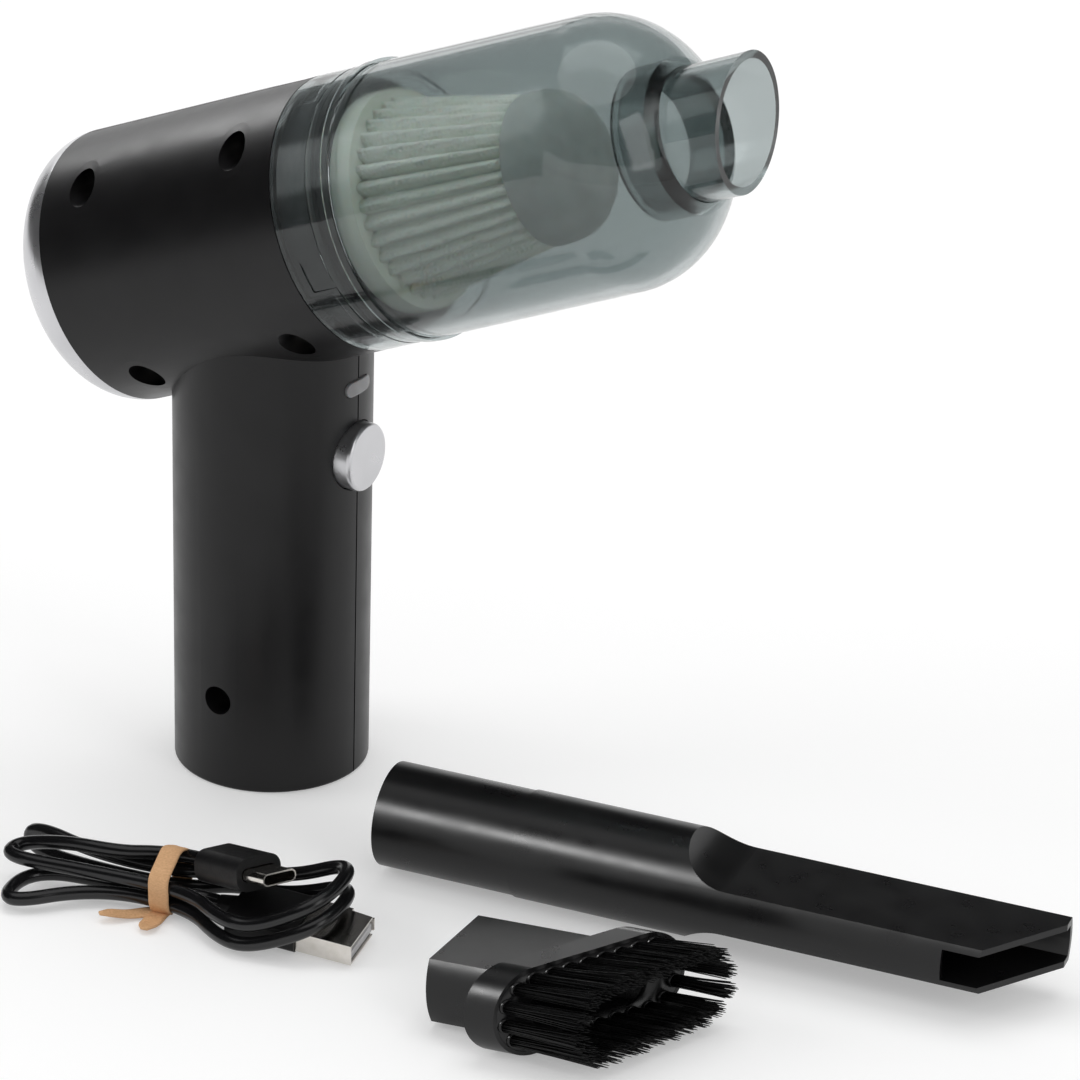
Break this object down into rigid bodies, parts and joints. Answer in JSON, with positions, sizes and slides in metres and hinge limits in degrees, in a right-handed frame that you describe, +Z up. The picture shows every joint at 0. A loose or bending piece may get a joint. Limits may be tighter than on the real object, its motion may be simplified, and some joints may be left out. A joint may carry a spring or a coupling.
{
  "type": "mini vacuum cleaner",
  "caption": "Pistol-shaped cordless hand vacuum with a clear dust cup and pleated filter, beside its crevice tool, oval brush and tied charging cable.",
  "frame": {"origin": "centre of the handle's flat base, on the floor", "axes": "+Z up along the handle, +X forwards under the barrel's inlet, +Y to the left of someone who holds it"},
  "size_m": [0.2399, 0.1166, 0.1779],
  "materials": {
    "black_shell": "satin",
    "silver_trim": "satin silver paint",
    "dark_plastic": "matt",
    "foam": "open cell foam",
    "steel": "plated",
    "magnet": "sintered",
    "armature": "laminated",
    "cell": "sleeved",
    "board": "solder mask",
    "lamp": "moulded",
    "lens": "clear",
    "lead": "smooth",
    "smoke_clear": "smoke tinted and clear",
    "seal": "smooth",
    "filter_plastic": "satin",
    "filter_paper": "pleated paper",
    "black_tool": "satin",
    "bristle": "nylon",
    "cable_jacket": "satin",
    "contact_tongue": "moulded",
    "kraft_paper": "paper"
  },
  "bodies": {
    "vacuum": {"housing_left": "black_shell", "housing_right": "black_shell", "housing_screws": "steel", "rear_cap": "silver_trim", "exhaust_grille": "dark_plastic", "exhaust_foam": "foam", "motor_can": "steel", "motor_end_cap": "dark_plastic", "motor_magnets": "magnet", "motor_mount": "dark_plastic", "fan_shroud": "dark_plastic", "diffuser_plate": "dark_plastic", "cup_spigot": "dark_plastic", "intake_grille": "dark_plastic", "battery_cells": "cell", "battery_holder": "dark_plastic", "control_board": "board", "push_switch": "dark_plastic", "indicator_led": "lamp", "indicator_lens": "lens", "usb_c_socket": "steel", "charge_board": "board", "motor_leads": "lead"},
    "rotor": {"motor_armature": "armature", "impeller": "dark_plastic"},
    "button": {"power_button": "silver_trim"},
    "filter": {"filter_frame": "filter_plastic", "filter_media": "filter_paper", "filter_cap": "filter_plastic"},
    "seal": {"cup_seal": "seal"},
    "cup": {"dust_cup": "smoke_clear", "inlet_tube": "smoke_clear"},
    "crevice": {"crevice_tool": "black_tool"},
    "brush": {"brush_head": "black_tool", "brush_bristles": "bristle"},
    "cable": {"charging_cable": "cable_jacket", "usb_a_overmould": "cable_jacket", "usb_a_shell": "steel", "usb_a_tongue": "contact_tongue", "usb_c_overmould": "cable_jacket", "usb_c_shell": "steel", "cable_tie": "kraft_paper"}
  },
  "joints": [
    {"name": "rotor_spin", "type": "hinge", "parent": "vacuum", "child": "rotor", "pos_m": [0, 0, 0.1192], "axis": [0.9252, 0, 0.3795], "continuous": true},
    {"name": "button_press", "type": "slide", "parent": "vacuum", "child": "button", "axis": [-1, 0, 0], "range_m": [0, 0.001], "stiffness_N_per_m": 400},
    {"name": "filter_pull", "type": "slide", "parent": "vacuum", "child": "filter", "axis": [0.9252, 0, 0.3795], "range_m": [0, 0.03]},
    {"name": "cup_pull", "type": "slide", "parent": "filter", "child": "seal", "axis": [0.9252, 0, 0.3795], "range_m": [0, 0.075]},
    {"name": "cup_twist", "type": "hinge", "parent": "seal", "child": "cup", "pos_m": [0, 0, 0.1192], "axis": [0.9252, 0, 0.3795], "range_deg": [0, 16]},
    {"name": "crevice_lift", "type": "slide", "parent": "vacuum", "child": "crevice", "axis": [0, 0, 1], "range_m": [0, 0.06]},
    {"name": "brush_lift", "type": "slide", "parent": "vacuum", "child": "brush", "axis": [0, 0, 1], "range_m": [0, 0.06]},
    {"name": "cable_lift", "type": "slide", "parent": "vacuum", "child": "cable", "axis": [0, 0, 1], "range_m": [0, 0.06]}
  ]
}
